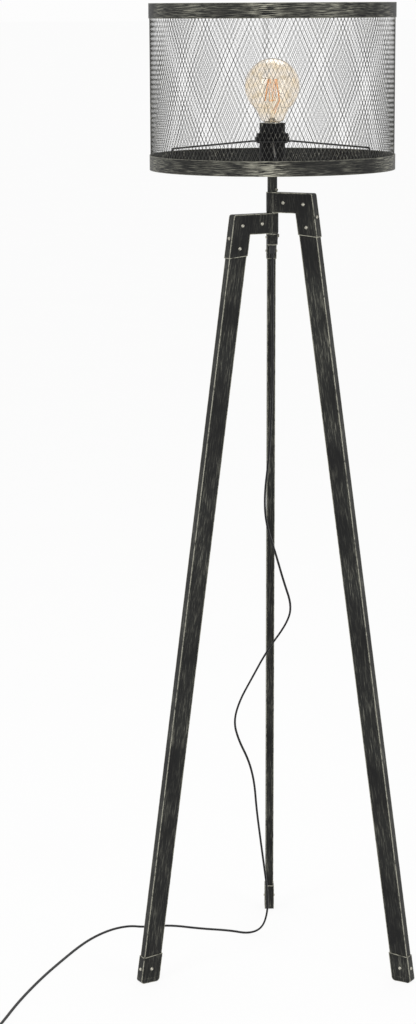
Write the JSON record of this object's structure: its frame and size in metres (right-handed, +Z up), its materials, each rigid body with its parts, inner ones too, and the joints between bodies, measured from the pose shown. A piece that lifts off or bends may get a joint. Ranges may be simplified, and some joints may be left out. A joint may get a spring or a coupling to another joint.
{
  "type": "floor lamp",
  "caption": "Tripod floor lamp with an open drum shade of expanded metal, swinging legs and a trailing cord.",
  "frame": {"origin": "on the floor, on the axis of the stem", "axes": "+Z up along the stem; -Y is the front, with the rear leg on +Y and the right leg towards +X"},
  "size_m": [0.7679, 0.6821, 1.6171],
  "materials": {
    "brushed_black_paint": "black paint dry-brushed with pale silver",
    "black_mesh": "satin black paint on expanded metal",
    "bright_screws": "worn bright heads",
    "black_steel": "satin",
    "black_phenolic": "moulded, satin",
    "ceramic": "glazed ceramic",
    "brass": "plain",
    "cap_metal": "nickel plated",
    "amber_glass": "amber lacquered, clear",
    "clear_glass": "clear",
    "filament": "thin orange filament",
    "black_glass": "black glass",
    "nylon": "moulded",
    "rubber": "soft matt",
    "cord_sheath": "matt black flex",
    "switch_plastic": "moulded, satin",
    "contact_block": "moulded",
    "pin_metal": "nickel plated"
  },
  "bodies": {
    "stand_and_shade": {"bulb_filament": "filament", "bulb_glass": "amber_glass", "bulb_glass_stem": "clear_glass", "bulb_insulator": "black_glass", "bulb_screw_cap": "cap_metal", "cord_coil": "cord_sheath", "cord_in_stem": "cord_sheath", "cord_run": "cord_sheath", "cord_strain_relief": "rubber", "cord_switch_case": "switch_plastic", "cord_switch_contacts": "contact_block", "cord_tail": "cord_sheath", "hinge_washers": "nylon", "lampholder_cap": "black_phenolic", "lampholder_contacts": "brass", "lampholder_insert": "ceramic", "lampholder_shade_ring": "black_phenolic", "lampholder_skirt": "black_phenolic", "lock_screw": "black_steel", "nipple_nut": "black_steel", "plug_body": "switch_plastic", "plug_pins": "pin_metal", "rear_bracket": "brushed_black_paint", "rear_bracket_screws": "bright_screws", "rear_leg": "brushed_black_paint", "rear_shoe": "brushed_black_paint", "rear_shoe_screws": "bright_screws", "shade_band_rivets": "bright_screws", "shade_bottom_band": "brushed_black_paint", "shade_carrier": "black_mesh", "shade_mesh": "black_mesh", "shade_top_band": "brushed_black_paint", "stem_bush": "black_steel", "stem_tube": "brushed_black_paint", "stop_screw": "black_steel", "threaded_nipple": "black_steel"},
    "right_leg_assembly": {"right_bracket": "brushed_black_paint", "right_leg": "brushed_black_paint", "right_shoe": "brushed_black_paint", "right_bracket_screws": "bright_screws", "right_shoe_screws": "bright_screws"},
    "left_leg_assembly": {"left_bracket": "brushed_black_paint", "left_leg": "brushed_black_paint", "left_shoe": "brushed_black_paint", "left_bracket_screws": "bright_screws", "left_shoe_screws": "bright_screws"},
    "switch_button": {"cord_switch_button": "switch_plastic"}
  },
  "joints": [
    {"name": "right_leg_swing", "type": "hinge", "parent": "stand_and_shade", "child": "right_leg_assembly", "pos_m": [0, 0, 1.3], "axis": [0, 0, 1], "range_deg": [-45, 95]},
    {"name": "left_leg_swing", "type": "hinge", "parent": "stand_and_shade", "child": "left_leg_assembly", "pos_m": [0, 0, 1.26], "axis": [0, 0, 1], "range_deg": [-50, 45]},
    {"name": "switch_press", "type": "slide", "parent": "stand_and_shade", "child": "switch_button", "axis": [0, 0, -1], "range_m": [0, 0.002], "stiffness_N_per_m": 300}
  ]
}
